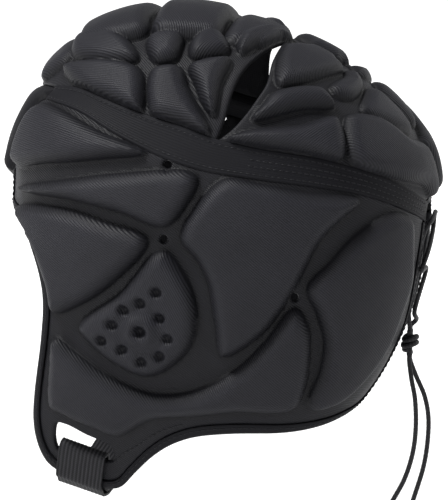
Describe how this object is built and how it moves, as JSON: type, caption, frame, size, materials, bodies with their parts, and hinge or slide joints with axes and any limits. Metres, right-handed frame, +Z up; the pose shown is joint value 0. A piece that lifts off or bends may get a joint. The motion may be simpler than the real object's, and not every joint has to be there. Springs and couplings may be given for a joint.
{
  "type": "rugby scrum cap",
  "caption": "Soft padded rugby head guard with foam pads over crown, brow and ears, open crown vents, webbing chin strap and laced back.",
  "frame": {"origin": "inside top of the crown, where it rests on the top of the head", "axes": "+Z up, the wearer faces -X, +Y is the wearer's right; left and right mirror about Y = 0"},
  "size_m": [0.2277, 0.1792, 0.2652],
  "materials": {
    "panel_cloth": "soft ribbed stretch cloth over foam, matt",
    "brow_cloth": "plain stretch cloth over foam, matt",
    "tape": "flat woven tape with lengthwise stitching",
    "binding": "folded elastic binding, stitched",
    "webbing": "ribbed woven webbing",
    "lace": "round braided lace"
  },
  "bodies": {
    "root": {"side_panel_left": "panel_cloth", "side_panel_right": "panel_cloth", "crown_front": "panel_cloth", "crown_back": "panel_cloth", "brow_panel": "brow_cloth", "crown_tape_left": "tape", "crown_tape_right": "tape", "edge_binding": "binding", "chin_strap": "webbing", "back_lace": "lace", "lace_end_1": "lace", "lace_end_2": "lace", "lace_knot": "lace"}
  },
  "joints": []
}
